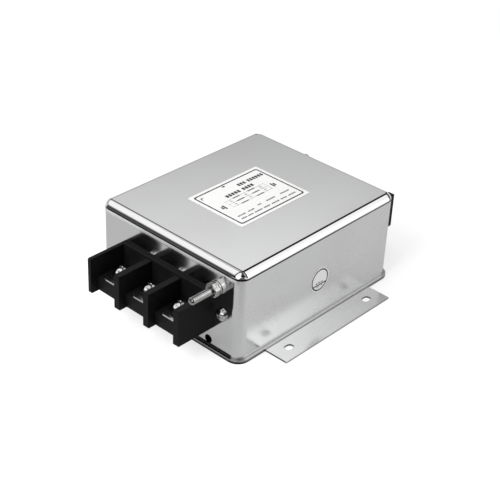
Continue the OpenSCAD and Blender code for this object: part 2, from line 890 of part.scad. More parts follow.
case_can();
base_plate();
insulating_sheet();
rating_label();
round_sticker();
line_terminal_block();
load_terminal_block();
line_terminal_bar(1);  // line_terminal_bar_1
line_terminal_bar(2);  // line_terminal_bar_2
line_terminal_bar(3);  // line_terminal_bar_3
load_terminal_bar(1);  // load_terminal_bar_1
load_terminal_bar(2);  // load_terminal_bar_2
load_terminal_bar(3);  // load_terminal_bar_3
terminal_screws();
terminal_split_washers();
terminal_flat_washers();
terminal_nuts();
earth_bolt();
earth_back_nut();
earth_flat_washers();
earth_split_washer();
earth_front_nut();
block_screws();
block_nuts();
choke_core();
choke_winding(1);  // choke_winding_1
choke_winding(2);  // choke_winding_2
choke_winding(3);  // choke_winding_3
choke_saddle();
choke_tie();
winding_lugs();
lug_screws();
bus_pillars();
line_capacitor_board();
load_capacitor_board();
board_spacers();
board_screws();
line_x_capacitor(1);  // line_x_capacitor_1
line_x_capacitor(2);  // line_x_capacitor_2
line_x_capacitor(3);  // line_x_capacitor_3
load_x_capacitor(1);  // load_x_capacitor_1
load_x_capacitor(2);  // load_x_capacitor_2
load_x_capacitor(3);  // load_x_capacitor_3
y_capacitor(1);  // y_capacitor_1
y_capacitor(2);  // y_capacitor_2
y_capacitor(3);  // y_capacitor_3
bleed_resistor(1);  // bleed_resistor_1
bleed_resistor(2);  // bleed_resistor_2
bleed_resistor(3);  // bleed_resistor_3
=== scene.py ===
# %% [markdown]
# # A three-phase line filter, dressed in Blender
# The solids come packed from the construction model, already in metres and in place. This
# lesson gives each of them a finish, adds the pieces that are finer than the solids carry (two
# printed foils), and sets up a plain studio and a camera.

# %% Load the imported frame
import math

import bpy
import numpy as np
from mathutils import Matrix, Vector


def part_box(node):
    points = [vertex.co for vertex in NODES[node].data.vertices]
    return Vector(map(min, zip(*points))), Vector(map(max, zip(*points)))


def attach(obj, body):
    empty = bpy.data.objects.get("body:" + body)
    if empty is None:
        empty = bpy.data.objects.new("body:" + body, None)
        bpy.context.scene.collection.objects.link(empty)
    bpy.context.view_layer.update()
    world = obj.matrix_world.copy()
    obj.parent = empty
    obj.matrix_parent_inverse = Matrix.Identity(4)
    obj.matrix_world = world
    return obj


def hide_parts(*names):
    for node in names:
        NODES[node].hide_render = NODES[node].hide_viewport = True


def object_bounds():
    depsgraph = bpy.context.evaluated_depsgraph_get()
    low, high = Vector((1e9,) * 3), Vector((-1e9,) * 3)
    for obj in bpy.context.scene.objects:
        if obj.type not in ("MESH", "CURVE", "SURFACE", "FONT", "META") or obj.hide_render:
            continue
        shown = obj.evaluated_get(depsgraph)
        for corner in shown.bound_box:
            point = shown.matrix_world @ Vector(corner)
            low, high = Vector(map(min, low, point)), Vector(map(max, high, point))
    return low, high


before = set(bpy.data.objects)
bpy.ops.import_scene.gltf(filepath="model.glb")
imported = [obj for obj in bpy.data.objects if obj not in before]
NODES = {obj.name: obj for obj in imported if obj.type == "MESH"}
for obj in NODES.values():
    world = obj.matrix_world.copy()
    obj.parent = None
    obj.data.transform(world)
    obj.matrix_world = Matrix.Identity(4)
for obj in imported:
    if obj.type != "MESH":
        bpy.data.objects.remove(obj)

cad_low, cad_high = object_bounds()
MM = 0.001
print("frame:", len(NODES), "nodes, box in mm",
      [round(v / MM, 2) for v in (*cad_low, *cad_high)])

# %% [markdown]
# ## Measures taken from the solids
# Places are read from the nodes' boxes, so the pieces follow the frame if it changes. Two
# measures are stated, because no box shows them: how far the lip reaches out from the walls,
# and the radius of the rolled roof edge. The line end is at -X.

# %% Levels and faces
can_low, can_high = (np.array(c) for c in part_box("case_can"))
label_low, label_high = (np.array(c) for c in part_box("rating_label"))
disc_low, disc_high = (np.array(c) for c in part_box("round_sticker"))
ROOF_Z = float(can_high[2])
PLATE_TOP = float(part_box("base_plate")[1][2])
LIP = 2.3 * MM
WALL_X = float(can_high[0]) - LIP
WALL_Y = float(can_high[1]) - LIP
ROOF_R = 5.0 * MM
print("roof at", round(ROOF_Z / MM, 2), "mm, walls at", round(WALL_X / MM, 2), "and",
      round(WALL_Y / MM, 2), "mm")

# %% [markdown]
# ## Node graphs in few words
# A material is a graph of small nodes. Writing each link by hand hides the idea, so this
# little class keeps the bookkeeping: `g.math("ADD", a, b)` makes one node, links or sets
# its inputs, and hands back its output socket.

# %% A short hand for node graphs
class Graph:
    """Makes nodes in one tree; a socket as a value is linked, anything else is set."""

    def __init__(self, tree):
        self.tree = tree
        self.count = 0

    def put(self, target, value):
        if isinstance(value, bpy.types.NodeSocket):
            self.tree.links.new(value, target)
        elif value is not None:
            target.default_value = value

    def node(self, kind, inputs=None, **settings):
        made = self.tree.nodes.new(kind)
        made.location = (self.count % 8 * 200, -self.count // 8 * 260)
        self.count += 1
        for name, value in settings.items():
            setattr(made, name, value)
        for key, value in (inputs or {}).items():
            self.put(made.inputs[key], value)
        return made

    def math(self, operation, a, b=None):
        inputs = {0: a} if b is None else {0: a, 1: b}
        return self.node("ShaderNodeMath", inputs, operation=operation).outputs[0]

    def times(self, product, *values):
        """The product of all values; of masks, 1 only where every one of them is 1."""
        for value in values:
            product = self.math("MULTIPLY", product, value)
        return product

    def choose(self, mask, there, elsewhere):
        """The value there where mask is 1, and elsewhere where it is 0."""
        rest = self.math("SUBTRACT", 1.0, mask)
        return self.math("ADD", self.times(mask, there), self.times(rest, elsewhere))

    def vector(self, operation, a, b=None):
        inputs = {0: a} if b is None else {0: a, 1: b}
        made = self.node("ShaderNodeVectorMath", inputs, operation=operation)
        return made.outputs["Value" if operation == "DOT_PRODUCT" else "Vector"]

    def step(self, value, low, high, to_low=0.0, to_high=1.0, smooth=True):
        """A ramp from to_low to to_high while value goes from low to high."""
        inputs = {"Value": value, "From Min": low, "From Max": high,
                  "To Min": to_low, "To Max": to_high}
        kind = "SMOOTHSTEP" if smooth else "LINEAR"
        return self.node("ShaderNodeMapRange", inputs, interpolation_type=kind).outputs[0]

    def mix(self, factor, a, b):
        """a where factor is 0 and b where it is 1, for colours."""
        made = self.node("ShaderNodeMix", data_type="RGBA")
        self.put(made.inputs[0], factor)
        self.put(made.inputs[6], a)
        self.put(made.inputs[7], b)
        return made.outputs[2]

    def noise(self, vector, scale, detail=3.0, roughness=0.5, distortion=0.0):
        inputs = {"Vector": vector, "Scale": scale, "Detail": detail, "Roughness": roughness,
                  "Distortion": distortion}
        return self.node("ShaderNodeTexNoise", inputs).outputs[0]


def grey(value, warmth=0.0):
    """A colour of one brightness, a little warmer or cooler."""
    return (value * (1 + warmth), value, value * (1 - warmth), 1.0)

# %% [markdown]
# ## Shared effects as node groups
# Three effects come back on many finishes: the fine **grain** that rolling leaves on sheet
# metal, the **handling** marks that dull any surface in soft patches, and the **speckle** of
# moulded plastic. Each is a group with named sockets. A group gives out only masks and
# heights, and the shader itself stays in the material, which keeps the export readable.

# %% Group builder
def group(name, inputs, outputs):
    """An empty shader group with float inputs (name, default) and float outputs."""
    tree = bpy.data.node_groups.new(name, "ShaderNodeTree")
    tree.interface.new_socket("Vector", in_out="INPUT", socket_type="NodeSocketVector")
    for socket, default in inputs:
        made = tree.interface.new_socket(socket, in_out="INPUT", socket_type="NodeSocketFloat")
        made.default_value = default
    for socket in outputs:
        tree.interface.new_socket(socket, in_out="OUTPUT", socket_type="NodeSocketFloat")
    graph = Graph(tree)
    source = graph.node("NodeGroupInput").outputs
    sink = graph.node("NodeGroupOutput").inputs
    return tree, graph, source, sink

# %% Rolling grain
grain_tree, g, source, sink = group("rolling_grain", [("Length", 12.0), ("Fineness", 5200.0)],
                                    ["Mask", "Height"])
shrink = g.math("DIVIDE", 1.0, source["Length"])
stretch = g.node("ShaderNodeCombineXYZ", {0: shrink, 1: 1.0, 2: 1.0}).outputs[0]
along = g.vector("MULTIPLY", source["Vector"], stretch)
fine = g.noise(along, source["Fineness"], detail=2.0, roughness=0.6)
broad = g.noise(along, g.times(source["Fineness"], 0.13), detail=3.0)
streaks = g.math("ADD", g.times(fine, 0.6), g.times(broad, 0.4))
g.put(sink["Mask"], g.step(streaks, 0.3, 0.7))
g.put(sink["Height"], streaks)
print("group", grain_tree.name, "has", len(grain_tree.nodes), "nodes")

# %% Handling marks
handling_tree, g, source, sink = group("handling", [("Size", 22.0), ("Amount", 1.0)],
                                       ["Smudge", "Scratch"])
patch = g.noise(source["Vector"], source["Size"], detail=5.0, roughness=0.62, distortion=0.4)
g.put(sink["Smudge"], g.times(g.step(patch, 0.42, 0.72), source["Amount"]))
tilted = g.node("ShaderNodeMapping", {"Vector": source["Vector"], "Rotation": (0.3, 0.5, 0.7),
                                      "Scale": (1.0, 26.0, 9.0)}).outputs[0]
scratches = g.step(g.noise(tilted, 60.0, detail=1.0), 0.74, 0.79)
here = g.step(g.noise(source["Vector"], 35.0, detail=2.0), 0.56, 0.68)
g.put(sink["Scratch"], g.times(scratches, here, source["Amount"]))
print("group", handling_tree.name, "has", len(handling_tree.nodes), "nodes")

# %% Moulded speckle
speckle_tree, g, source, sink = group("moulded_speckle", [("Size", 2600.0)], ["Height", "Mask"])
pits = g.noise(source["Vector"], source["Size"], detail=2.0, roughness=0.7)
cloud = g.noise(source["Vector"], g.times(source["Size"], 0.03), detail=4.0)
g.put(sink["Height"], g.math("ADD", g.times(pits, 0.8), g.times(cloud, 0.2)))
g.put(sink["Mask"], g.step(cloud, 0.35, 0.7))
print("group", speckle_tree.name, "has", len(speckle_tree.nodes), "nodes")

# %% [markdown]
# ## One place to start a finish
# Each material starts from the same few nodes: the object's own coordinates, a group placed
# with its own values, a bump, and one Principled shader. Numbers that are the same all over
# a surface are set on the shader's sockets and never arrive through a node.

# %% Starting a material
class Finish(Graph):
    """A material with its Principled shader at .shader and Object coordinates at .place."""

    def __init__(self, name, **sockets):
        self.material = bpy.data.materials.new(name)
        self.material.use_nodes = True
        super().__init__(self.material.node_tree)
        self.tree.nodes.clear()
        self.shader = self.node("ShaderNodeBsdfPrincipled")
        out = self.node("ShaderNodeOutputMaterial")
        self.tree.links.new(self.shader.outputs[0], out.inputs["Surface"])
        self.place = self.node("ShaderNodeTexCoord").outputs["Object"]
        self.feed(**sockets)

    def effect(self, tree, **inputs):
        """One of the shared groups, placed by the Object coordinates."""
        inputs = {"Vector": self.place, **inputs}
        return self.node("ShaderNodeGroup", inputs, node_tree=tree).outputs

    def bump(self, height, strength, distance):
        inputs = {"Height": height, "Strength": strength, "Distance": distance}
        return self.node("ShaderNodeBump", inputs).outputs[0]

    def feed(self, **sockets):
        """Sets or links the shader's sockets; an underscore stands for a space in their names."""
        for key, value in sockets.items():
            self.put(self.shader.inputs[key.replace("_", " ")], value)
        return self.material

    def axes(self):
        """The three Object coordinates as separate values."""
        return self.node("ShaderNodeSeparateXYZ", {0: self.place}).outputs


def steps_up(f, start, *terms):
    """start plus each (mask, amount), which is how wear adds to a roughness."""
    total = start
    for mask, amount in terms:
        total = f.math("ADD", total, f.times(mask, amount))
    return total


def dress(material, *names):
    """Gives the named CAD nodes one material; their meshes stay as they are."""
    for name in names:
        mesh = NODES[name].data
        mesh.materials.clear()
        mesh.materials.append(material)

# %% [markdown]
# ## Sheet steel
# The can is drawn from bright tinned sheet: nearly a mirror, with a trace of the rolling
# direction and a soft haze. Metals take almost all their look from what they reflect, so the
# base colour stays plain and the interest goes into roughness. The sheared edge is rough and
# darker, partly raw steel and partly painted shade, so one height tells the bright face from the
# cut.

# %% Sheet steel
def sheet_steel(name, tone, rough, haze, cut_top, cut_and_shade_tone):
    """Bright sheet; below cut_top its sheared edges show, rough and partly painted shade: a painted
    dark reflection at the line and load ends, a paler painted reflection along the ears' outer
    sides."""
    f = Finish(name, Metallic=1.0, IOR=2.0)
    grain = f.effect(grain_tree, Length=9.0, Fineness=2600.0)
    marks = f.effect(handling_tree, Size=16.0, Amount=1.0)
    colour = f.mix(marks["Smudge"], grey(tone, -0.004), grey(tone * 0.965, 0.0))
    colour = f.mix(f.times(grain["Mask"], 0.10), colour, grey(tone * 0.9))
    spread = f.axes()
    # Below cut_top the sheared edge is rougher and darker as raw steel, and also carries painted
    # shade: a painted dark reflection near the line and load ends and a paler painted reflection
    # along the ears' outer sides.
    cut = f.step(spread["Z"], cut_top - 0.16 * MM, cut_top - 0.06 * MM, 1.0, 0.0)
    painted_dark_reflection_at_ends = f.step(f.math("ABSOLUTE", spread["X"]), WALL_X - 9 * MM, WALL_X - 1 * MM)
    cut_edge_and_painted_reflection_tone = f.mix(painted_dark_reflection_at_ends, grey(cut_and_shade_tone, 0.02), grey(0.012, 0.02))
    painted_pale_reflection_on_ears = f.step(f.math("ABSOLUTE", spread["Y"]), WALL_Y + 22 * MM, WALL_Y + 23 * MM)
    cut_edge_and_painted_reflection_tone = f.mix(painted_pale_reflection_on_ears, cut_edge_and_painted_reflection_tone, grey(0.4))
    colour = f.mix(cut, colour, cut_edge_and_painted_reflection_tone)
    roughness = steps_up(f, rough, (marks["Smudge"], haze), (grain["Mask"], 0.018),
                         (marks["Scratch"], 0.06))
    roughness = f.math("MAXIMUM", roughness, f.times(cut, 0.42))
    f.feed(Base_Color=colour, Roughness=roughness, Normal=f.bump(grain["Height"], 0.05, 0.02 * MM))
    return f, colour, roughness


f, colour, _ = sheet_steel("bright_plate_steel", 0.64, 0.2, 0.03, PLATE_TOP, 0.1)
# Painted reflection: the plate is painted darker toward +X, so that its mirrored light fades along
# it.
painted_reflection_fade = f.step(f.axes()["X"], -60 * MM, 40 * MM, 0.0, 0.43, smooth=False)
dress(f.feed(Base_Color=f.mix(painted_reflection_fade, colour, grey(0.2))), "base_plate")
print("the base plate has", len(f.tree.nodes), "nodes")

# %% [markdown]
# ## The drawn can
# The can starts as the same sheet and adds what drawing does to it. The die burnishes the
# rolled roof edge smoother than the flat sheet. The end walls are smooth low down and turn
# hazy just under that edge, where the sheet was pulled hardest.

# %% Drawn can: sheet, burnish and haze
LIP_TOP = float(can_low[2]) + 1.2 * MM
EDGE_X, EDGE_Y, EDGE_Z = WALL_X - ROOF_R, WALL_Y - ROOF_R, ROOF_Z - ROOF_R
f, colour, roughness = sheet_steel("bright_drawn_steel", 0.68, 0.25, 0.03, LIP_TOP - 0.4 * MM, 0.2)
spread = f.axes()
x, y, z = f.math("ABSOLUTE", spread["X"]), f.math("ABSOLUTE", spread["Y"]), spread["Z"]
end_rough = f.step(z, ROOF_Z - 10.5 * MM, ROOF_Z - 6 * MM, 0.5, 1.4)
end_rough = f.step(x, WALL_X - 2 * MM, WALL_X - 0.5 * MM, 1.0, end_rough)
burnished = f.step(z, EDGE_Z - 0.1 * MM, EDGE_Z + 0.2 * MM, 1.0, 0.4)
roughness = f.times(roughness, end_rough, burnished)
haze = f.times(f.step(z, ROOF_Z - 9.5 * MM, ROOF_Z - 5.6 * MM, 0.0, 0.62),
               f.step(x, WALL_X - 0.6 * MM, WALL_X - 0.1 * MM),
               f.step(z, EDGE_Z, EDGE_Z + 0.1 * MM, 1.0, 0.0))
metallic = f.math("SUBTRACT", 1.0, haze)
print("rolled edge between z", round(EDGE_Z / MM, 2), "and", round(ROOF_Z / MM, 2), "mm")

# %% [markdown]
# Fine dark lines where the rolled edge runs out are painted reflections of dark. One goes
# round below the edge and fades toward the load end. One lies above it on the long side that
# carries the sticker; near the corners it bends inward and thins. One lies above it at the
# line end, and a short one closes the strip at the load end's corners.

# %% Drawn can: painted dark reflection lines
def painted_reflection_line(value, middle, half, strength=1.0):
    """1 near the place where value equals middle, with a soft rim of 0.15 mm."""
    off = f.math("SUBTRACT", f.math("ABSOLUTE", f.math("SUBTRACT", value, middle)), half)
    return f.step(off, -0.15 * MM, 0.15 * MM, strength, 0.0)


on_roof = f.step(z, ROOF_Z - 3.6 * MM, ROOF_Z - 3.2 * MM)
sticker_side = f.step(spread["Y"], -2 * MM, 2 * MM, 1.0, 0.0)
line_end = f.step(spread["X"], -2 * MM, 2 * MM, 1.0, 0.0)
bend = f.step(x, WALL_X - 7 * MM, WALL_X - 0.8 * MM, EDGE_Y + 0.1 * MM, EDGE_Y - 2.6 * MM,
              smooth=False)
thin = f.step(x, WALL_X - 9 * MM, WALL_X - 3 * MM, 0.95 * MM, 0.45 * MM)
faded = f.step(spread["X"], -50 * MM, 60 * MM, 1.0, 0.82, smooth=False)
on_corner = f.times(f.step(z, EDGE_Z - 0.2 * MM, EDGE_Z + 0.2 * MM),
                    f.step(y, EDGE_Y - 0.6 * MM, EDGE_Y - 0.3 * MM))
lines = [painted_reflection_line(z, EDGE_Z + 0.15 * MM, 0.65 * MM, faded),
         f.times(on_roof, sticker_side, painted_reflection_line(y, bend, thin)),
         f.times(on_roof, line_end, painted_reflection_line(x, EDGE_X - 1.3 * MM, 0.52 * MM)),
         f.times(on_corner, painted_reflection_line(spread["X"], WALL_X - 6.6 * MM, 0.9 * MM, 0.95))]
# Painted highlight: the rolled edge is painted brighter, near white in its upper part, to give its
# bright strip.
painted_highlight = f.step(z, EDGE_Z, EDGE_Z + 0.6 * MM, 0.0, f.step(z, ROOF_Z - 0.1 * MM, ROOF_Z, 0.8, 0.0))
painted_highlight_tone = f.mix(f.step(z, ROOF_Z - 2.6 * MM, ROOF_Z - 1.4 * MM), grey(0.99), grey(0.73))
colour = f.mix(painted_highlight, colour, painted_highlight_tone)
# Each painted reflection line turns the colour nearly black.
for line in lines:
    colour = f.mix(line, colour, grey(0.002))
print("die lines:", len(lines))

# %% [markdown]
# At the foot the lip's top is painted darker, and the cove just above the lip darker still:
# painted shade. In the corners, where the sheet was stretched two ways, it is rough.

# %% Drawn can: the foot
# Painted shade: the lip's top and the cove just above it are painted darker.
lip_or_cove = f.step(z, LIP_TOP + 0.01 * MM, LIP_TOP + 0.04 * MM, 0.45, 0.85)
painted_cove_shade = f.times(lip_or_cove, f.step(z, LIP_TOP + 0.35 * MM, LIP_TOP + 0.8 * MM, 1.0, 0.0),
                    f.step(z, LIP_TOP - 0.3 * MM, LIP_TOP - 0.1 * MM))
colour = f.mix(painted_cove_shade, colour, grey(0.16))
foot_corner = f.times(f.step(x, WALL_X - 8 * MM, WALL_X - 6 * MM),
                      f.step(y, WALL_Y - 8 * MM, WALL_Y - 6 * MM),
                      f.step(z, LIP_TOP + 0.8 * MM, LIP_TOP + 1.2 * MM, 0.45, 0.0))
roughness = f.math("MAXIMUM", roughness, foot_corner)
dress(f.feed(Base_Color=colour, Roughness=roughness, Metallic=metallic), "case_can")
print("the drawn can has", len(f.tree.nodes), "nodes")

# %% [markdown]
# ## Black mouldings
# The terminal blocks are thermoset: black, slightly satin, with a fine pebbled skin and faint
# flow marks. A low specular level keeps the cavities deep, and the top edges get a painted
# highlight.

# %% Black moulding
def moulding(name, tone, rough, specular=0.3, top=None):
    """A pebbled moulding; where top is given, edges at that height get a painted grey highlight."""
    f = Finish(name, Specular_IOR_Level=specular)
    skin = f.effect(speckle_tree, Size=2200.0)
    marks = f.effect(handling_tree, Size=30.0, Amount=0.8)
    colour = f.mix(skin["Mask"], grey(tone, 0.01), grey(tone * 1.25, -0.01))
    colour = f.mix(f.times(marks["Scratch"], 0.5), colour, grey(tone * 2.6))
    if top is not None:
        # Painted highlight: the top edges are painted grey, as a bevel's highlight.
        painted_highlight = f.step(f.axes()["Z"], top - 0.35 * MM, top - 0.15 * MM, 0.0, 0.8)
        colour = f.mix(painted_highlight, colour, grey(tone * 4))
    return f.feed(Base_Color=colour, Roughness=steps_up(f, rough, (skin["Mask"], 0.08)),
                  Normal=f.bump(skin["Height"], 0.12, 0.05 * MM))


BLOCK_TOP = float(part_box("line_terminal_block")[1][2])
dress(moulding("black_moulding", 0.0055, 0.40, 0.08, top=BLOCK_TOP),
      "line_terminal_block", "load_terminal_block")
dress(moulding("saddle_moulding", 0.025, 0.5), "choke_saddle")
print("mouldings: two blocks and the saddle; the blocks' top is at", round(BLOCK_TOP / MM, 2), "mm")

# %% [markdown]
# ## Plated hardware
# Screws, nuts and washers are nickel or zinc plated. Plating follows the turned steel below
# it, so its fine grain only breaks the highlights up. A darker film settles in patches, small
# and deep on the screw heads. A dark stripe along the earth bolt's top is a painted reflection.

# %% Plated metals
def plated(name, tone, rough, warmth=0.0, size=70.0, film=0.8, seam=None):
    """Plating; seam gives the (y, z) of a painted dark reflection stripe on the upper side of a
    rod.
    """
    f = Finish(name, Metallic=1.0, IOR=2.0)
    marks = f.effect(handling_tree, Size=size, Amount=1.0)
    grain = f.effect(grain_tree, Length=3.0, Fineness=5200.0)
    colour = f.mix(marks["Smudge"], grey(tone, warmth), grey(tone * film, warmth * 1.5))
    if seam is not None:
        # Painted reflection: a dark stripe along the rod's upper side.
        spread = f.axes()
        off = f.math("ABSOLUTE", f.math("SUBTRACT", spread["Y"], seam[0]))
        painted_stripe = f.times(f.step(off, 0.35 * MM, 0.6 * MM, 0.92, 0.0),
                       f.step(spread["Z"], seam[1], seam[1] + MM))
        colour = f.mix(painted_stripe, colour, grey(0.03))
    roughness = steps_up(f, rough, (marks["Smudge"], 0.08), (grain["Mask"], 0.03))
    return f.feed(Base_Color=colour, Roughness=roughness,
                  Normal=f.bump(grain["Height"], 0.1, 0.02 * MM))


ENDS = ("line", "load")
THREE = (1, 2, 3)
bars = [f"{end}_terminal_bar_{n}" for end in ENDS for n in THREE]
dress(plated("plated_bar", 0.66, 0.14, size=45.0), *bars)
dress(plated("bright_screw_plating", 0.66, 0.07, size=420.0, film=0.12),
      "terminal_screws", "block_screws", "lug_screws", "board_screws")
dress(plated("washer_plating", 0.42, 0.15, 0.01), "terminal_flat_washers", "terminal_split_washers",
      "earth_flat_washers", "earth_split_washer")
bolt_mid = np.mean(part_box("earth_bolt"), axis=0)
# Place of the painted dark reflection stripe on the earth bolt's top.
painted_stripe_place = (float(bolt_mid[1]) - 0.5 * MM, float(bolt_mid[2]))
dress(plated("bolt_nickel", 0.34, 0.1, 0.008, seam=painted_stripe_place), "earth_bolt")
dress(plated("spacer_nickel", 0.34, 0.15, 0.008), "board_spacers")
dress(plated("nut_nickel", 0.44, 0.2, 0.008, size=220.0, film=0.5),
      "earth_back_nut", "earth_front_nut", "terminal_nuts", "block_nuts")
dress(plated("tinned_lug", 0.66, 0.22, 0.004), "winding_lugs")
dress(plated("pillar_brass", 0.55, 0.2, 0.28), "bus_pillars")
print("plated metals on", len(bars), "bars and the fasteners")

# %% [markdown]
# ## The sealed inside
# Nobody sees these parts while the can is on, but the object may be taken apart, so each has
# its finish: enamelled copper, a coated ring core, boxed capacitors with a moulded skin, and
# green laminate whose weave shows through the lacquer.

# %% Enamelled copper, core coating and boxes
def coated(name, colour, rough, coat=0.0, metallic=0.0, mottle=0.12, size=300.0):
    f = Finish(name, Metallic=metallic, Coat_Weight=coat, Coat_Roughness=0.12)
    skin = f.effect(speckle_tree, Size=size)
    deep = tuple(c * (1 - mottle) for c in colour[:3]) + (1.0,)
    return f.feed(Base_Color=f.mix(skin["Mask"], colour, deep),
                  Roughness=steps_up(f, rough, (skin["Mask"], 0.1)),
                  Normal=f.bump(skin["Height"], 0.15, 0.08 * MM))


dress(coated("enamelled_copper", (0.62, 0.22, 0.08, 1), 0.28, coat=0.6, metallic=1.0),
      *[f"choke_winding_{n}" for n in THREE])
dress(coated("core_coating", (0.05, 0.15, 0.33, 1), 0.4, coat=0.3, size=900.0), "choke_core")
dress(coated("tie_nylon", (0.80, 0.78, 0.70, 1), 0.5), "choke_tie")
dress(coated("yellow_box", (0.72, 0.50, 0.06, 1), 0.35, size=1500.0),
      *[f"{end}_x_capacitor_{n}" for end in ENDS for n in THREE])
dress(coated("blue_box", (0.04, 0.16, 0.42, 1), 0.35, size=1500.0),
      *[f"y_capacitor_{n}" for n in THREE])
dress(coated("insulating_film", (0.78, 0.72, 0.55, 1), 0.3, size=200.0), "insulating_sheet")
print("inner coatings done")

# %% Green laminate
f = Finish("board_laminate", Coat_Weight=0.5, Coat_Roughness=0.1)
PITCH = 0.6 * MM
threads = [f.math("SINE", f.times(f.axes()[axis], 2 * math.pi / PITCH)) for axis in "XY"]
weave = f.step(f.math("ADD", *threads), -1.2, 1.2)
dress(f.feed(Base_Color=f.mix(weave, (0.02, 0.13, 0.05, 1), (0.035, 0.18, 0.07, 1)),
             Roughness=steps_up(f, 0.38, (weave, 0.06)), Normal=f.bump(weave, 0.1, 0.03 * MM)),
      "line_capacitor_board", "load_capacitor_board")
print("laminate: a weave of", round(PITCH / MM, 2), "mm pitch")

# %% Resistor with its bands
f = Finish("resistor_body", Coat_Weight=0.3, Coat_Roughness=0.15)
mid_y = [sum(c[1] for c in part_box(f"bleed_resistor_{n}")) / 2 for n in THREE]
from_middle, *others = [f.math("ABSOLUTE", f.math("SUBTRACT", f.axes()["Y"], y)) for y in mid_y]
for other in others:
    from_middle = f.math("MINIMUM", from_middle, other)
tin = f.step(from_middle, 6.4 * MM, 6.6 * MM)
band = f.math("LESS_THAN", f.math("ABSOLUTE", f.math("SUBTRACT", from_middle, 2.6 * MM)), 0.55 * MM)
body = f.mix(band, (0.60, 0.42, 0.22, 1), (0.20, 0.07, 0.02, 1))
dress(f.feed(Base_Color=f.mix(tin, body, grey(0.7)), Metallic=tin,
             Roughness=f.math("SUBTRACT", 0.45, f.times(tin, 0.2))),
      *[f"bleed_resistor_{n}" for n in THREE])
print("every packed node has a finish:",
      all(o.data.materials and o.data.materials[0].use_nodes for o in NODES.values()))

# %% [markdown]
# ## Surfaces from numbers
# New pieces are grids: two parameters give a point, numpy works out every point at once, and
# `foreach_set` hands the whole array to the mesh. Quads join neighbouring grid points, and the
# grid's last column joins its first.

# %% From arrays to a mesh
def mesh_from(name, points, faces, material, smooth=True):
    """Puts (n, 3) points into a mesh, with faces as arrays of corner numbers, one face a row."""
    corners = np.concatenate([part.ravel() for part in faces])
    sizes = np.concatenate([np.full(len(part), part.shape[1]) for part in faces])
    mesh = bpy.data.meshes.new(name)
    mesh.vertices.add(len(points))
    mesh.vertices.foreach_set("co", np.asarray(points, np.float32).ravel())
    mesh.loops.add(len(corners))
    mesh.loops.foreach_set("vertex_index", corners.astype(np.int32))
    mesh.polygons.add(len(sizes))
    mesh.polygons.foreach_set("loop_start", (np.cumsum(sizes) - sizes).astype(np.int32))
    mesh.update(calc_edges=True)
    mesh.polygons.foreach_set("use_smooth", np.full(len(sizes), smooth))
    mesh.validate()
    mesh.materials.append(material)
    made = bpy.data.objects.new(name, mesh)
    bpy.context.scene.collection.objects.link(made)
    return made


def grid_quads(rows, columns):
    """Corner numbers of a grid of points, row by row, whose last column joins the first."""
    both = np.meshgrid(np.arange(rows - 1), np.arange(columns), indexing="ij")
    r, c = (grid.ravel() for grid in both)
    after = (c + 1) % columns
    return np.stack([r * columns + c, r * columns + after,
                     (r + 1) * columns + after, (r + 1) * columns + c], axis=1)


def place(piece, slot, *stands_for):
    """Rides a new piece on the only body, and hides the parts it stands for."""
    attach(piece, "root")
    if stands_for:
        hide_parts(*stands_for)
    print(piece.name, "has", len(piece.data.polygons), "faces")
    return piece

# %% [markdown]
# ## Printed plates
# A print on foil is ink lying on a thin plate. Both are built as flat prisms: an outline, its
# copy at another height, and a skirt between them. Ink shapes are many small prisms kept in
# one mesh, worked out together as an array of boxes.

# %% Prisms
def rounded_outline(length, width, radius, steps=10):
    """Corner arcs joined by straight sides, anticlockwise, about the origin."""
    angle = np.concatenate([np.linspace(k, k + 1, steps) for k in range(4)]) * math.pi / 2
    side_x = np.repeat([1, -1, -1, 1], steps) * (length / 2 - radius)
    side_y = np.repeat([1, 1, -1, -1], steps) * (width / 2 - radius)
    return np.stack([side_x + radius * np.cos(angle), side_y + radius * np.sin(angle)], axis=1)


def at_height(shape, z):
    """A flat outline lifted to the height z."""
    return np.column_stack([shape, np.full(len(shape), z)])


def frame_band(outline, inner, low, high):
    """A closed band: the section's four corners carried round, and the last ring joined back."""
    section = [(inner, low), (outline, low), (outline, high), (inner, high)]
    columns = len(outline)
    c = np.arange(columns)
    after = (c + 1) % columns
    back = np.stack([3 * columns + c, 3 * columns + after, after, c], axis=1)
    return (np.concatenate([at_height(shape, z) for shape, z in section]),
            np.concatenate([grid_quads(4, columns), back]))


def solid_plate(outline, low, high):
    """A closed plate: the outline at two heights, a skirt between, and a face on each."""
    columns = len(outline)
    points = np.concatenate([at_height(outline, z) for z in (low, high)])
    ring = np.arange(columns)[None]
    return points, (grid_quads(2, columns), ring[:, ::-1], ring + columns)


def ink_boxes(centres, sizes, low, high):
    """Boxes (n centres, n sizes) as one array: each corner is its centre plus a signed half."""
    sign = np.array([[-1, -1], [1, -1], [1, 1], [-1, 1]])
    flat = centres[:, None, :] + sign[None] * sizes[:, None, :] / 2
    ends = [np.dstack([flat, np.full(flat.shape[:2], z)]) for z in (low, high)]
    points = np.concatenate(ends, axis=1)
    faces = np.array([[3, 2, 1, 0], [4, 5, 6, 7], [0, 1, 5, 4],
                      [1, 2, 6, 5], [2, 3, 7, 6], [3, 0, 4, 7]])
    quads = np.arange(len(centres))[:, None, None] * 8 + faces[None]
    return points.reshape(-1, 3), quads.reshape(-1, 4)


def joined(*parts):
    """Several (points, quads) pairs as one."""
    offsets = np.cumsum([0] + [len(p) for p, _ in parts[:-1]])
    return (np.concatenate([p for p, _ in parts]),
            np.concatenate([q + o for (_, q), o in zip(parts, offsets)]))

# %% [markdown]
# ## Finishes of the foils
# The rating label is a silk white foil; the round sticker is silver. Ink is a dark grey that
# is never quite even, because screen printing leaves it thinner in places.

